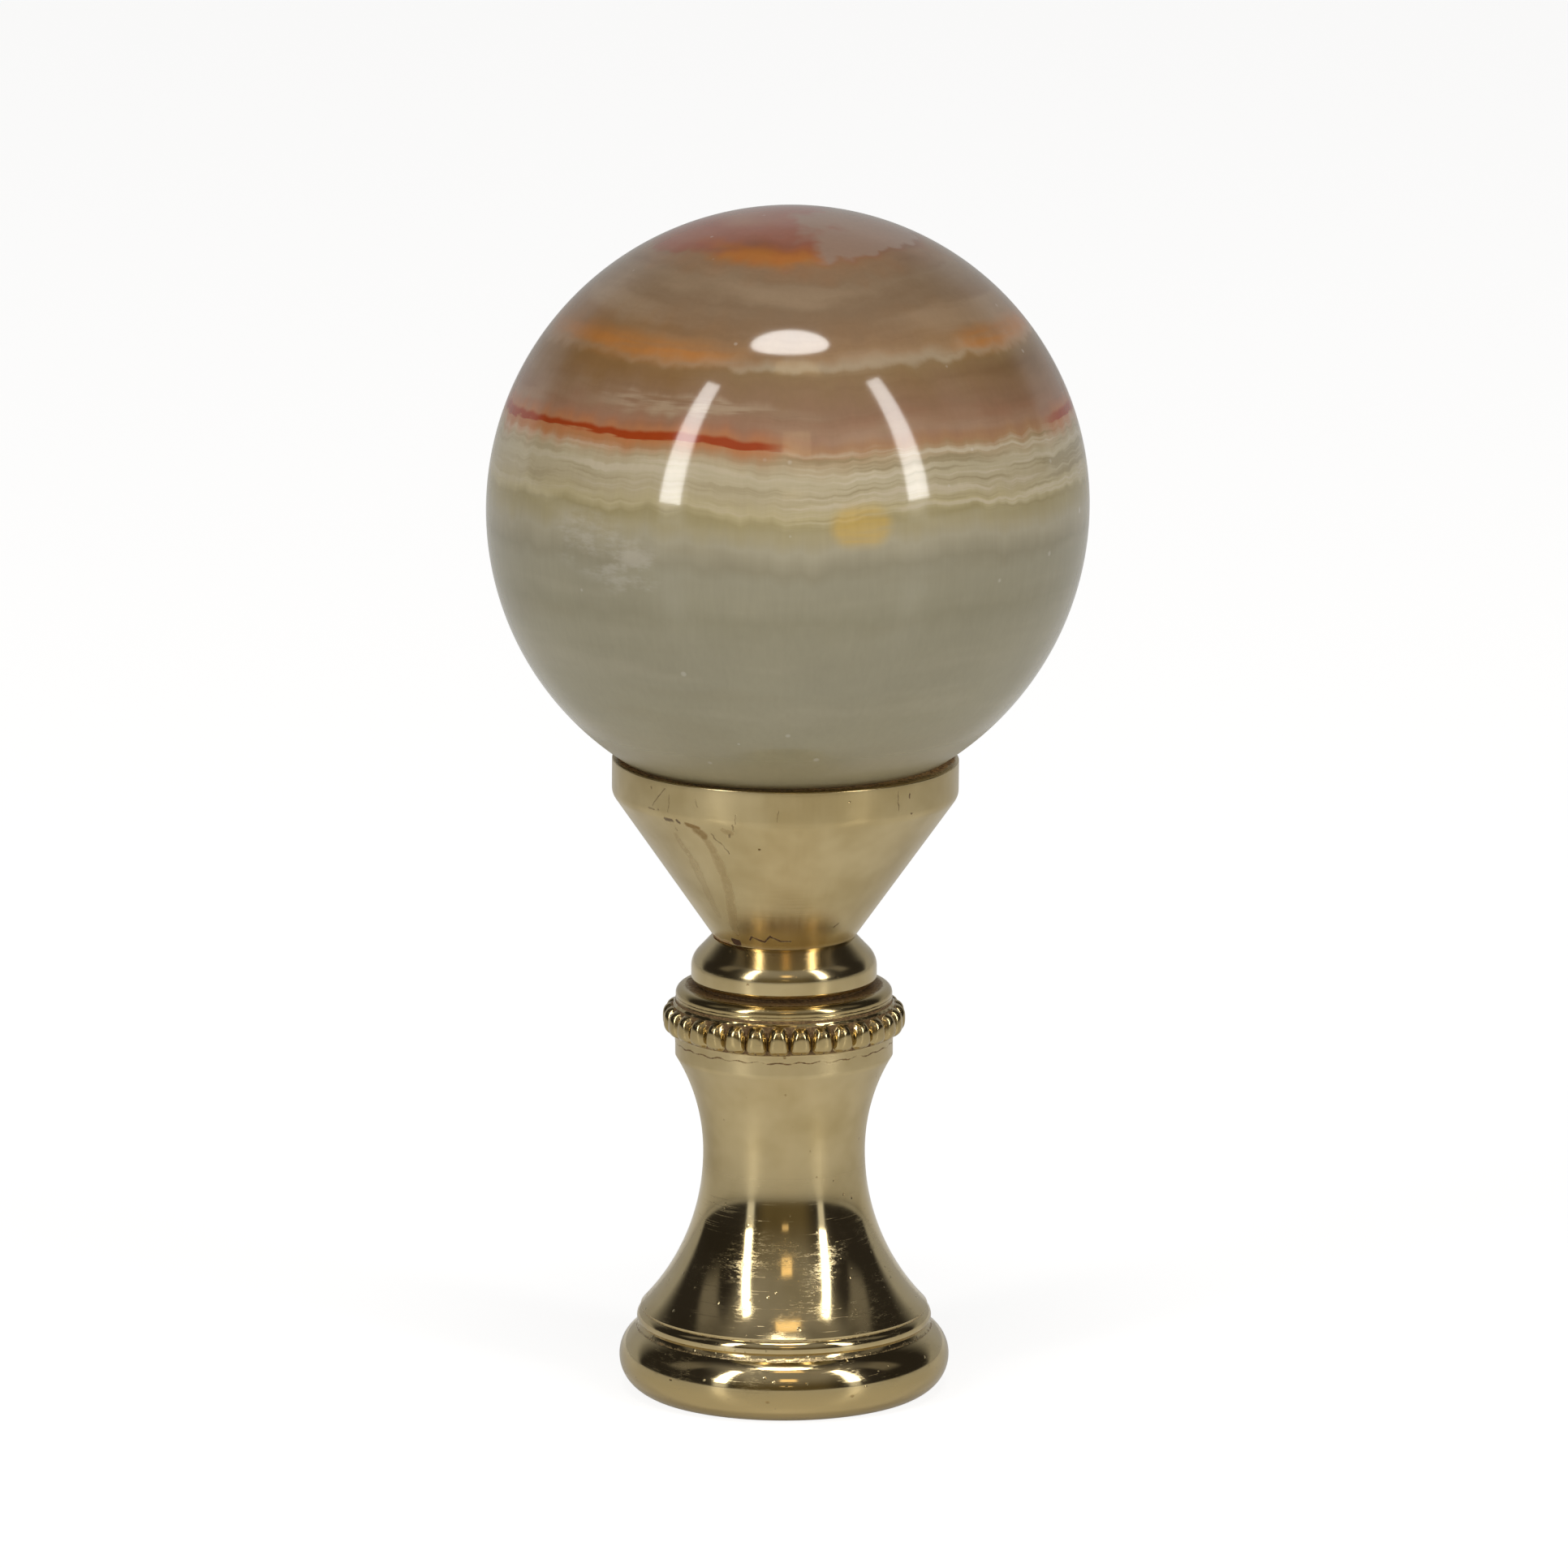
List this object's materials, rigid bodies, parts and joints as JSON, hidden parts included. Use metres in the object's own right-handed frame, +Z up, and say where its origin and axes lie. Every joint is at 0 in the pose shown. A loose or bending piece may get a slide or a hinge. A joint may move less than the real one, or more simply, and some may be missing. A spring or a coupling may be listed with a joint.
{
  "type": "lamp finial",
  "caption": "Lamp finial: a polished banded onyx ball held in a turned brass cup, on a waisted brass stem with a beaded collar and a round stepped foot.",
  "frame": {"origin": "centre of the flat underside of the foot", "axes": "+Z up along the finial's axis, towards the ball; -Y towards the side seen in the picture, +X to that view's right"},
  "size_m": [0.0318, 0.0318, 0.0635],
  "materials": {
    "onyx": "polished, banded grey-green, cream, brown and rust",
    "brass_satin": "lacquered, turned, satin",
    "brass_polished": "polished, with dark residue between the beads"
  },
  "bodies": {
    "root": {"onyx_ball": "onyx", "brass_cup": "brass_satin", "brass_base": "brass_polished"}
  },
  "joints": []
}
